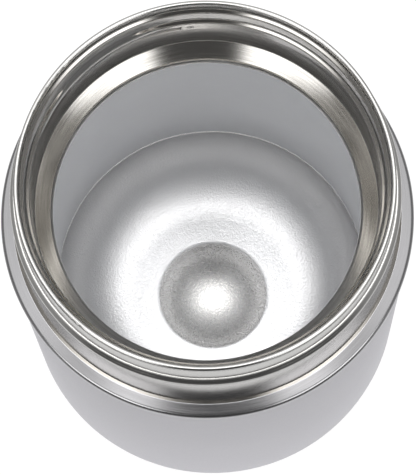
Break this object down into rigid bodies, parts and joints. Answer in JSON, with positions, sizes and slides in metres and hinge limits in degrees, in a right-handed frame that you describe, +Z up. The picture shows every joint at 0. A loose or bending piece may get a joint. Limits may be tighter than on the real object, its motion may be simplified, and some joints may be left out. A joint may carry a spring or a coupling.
{
  "type": "insulated food jar",
  "caption": "Open double-walled steel food jar with a painted body, bare shoulder, rolled thread on the neck, stepped mouth with a gasket seat and a domed inner base.",
  "frame": {"origin": "centre of the foot, on the surface that the jar stands on", "axes": "+Z up the jar's axis and out of its mouth; the thread's upper end is at 79 degrees from +X towards +Y"},
  "size_m": [0.0946, 0.0946, 0.117],
  "materials": {
    "paint": "satin pale grey",
    "neck_steel": "polished",
    "liner_steel": "electropolished",
    "base_steel": "bead-blasted satin",
    "cap_steel": "brushed",
    "weld": "bright weld",
    "solder": "dull solder",
    "getter": "matte",
    "foil": "bright foil"
  },
  "bodies": {
    "root": {"outer_shell": "paint", "shoulder_ring": "neck_steel", "shell_weld": "weld", "neck_sleeve": "neck_steel", "neck_weld": "weld", "rim_bead": "neck_steel", "liner_tube": "liner_steel", "liner_weld": "weld", "liner_base": "base_steel", "base_cap": "cap_steel", "base_weld": "weld", "seal_plug": "solder", "getter_capsule": "getter", "getter_clip": "cap_steel", "foil_wrap": "foil", "foil_base": "foil"}
  },
  "joints": []
}
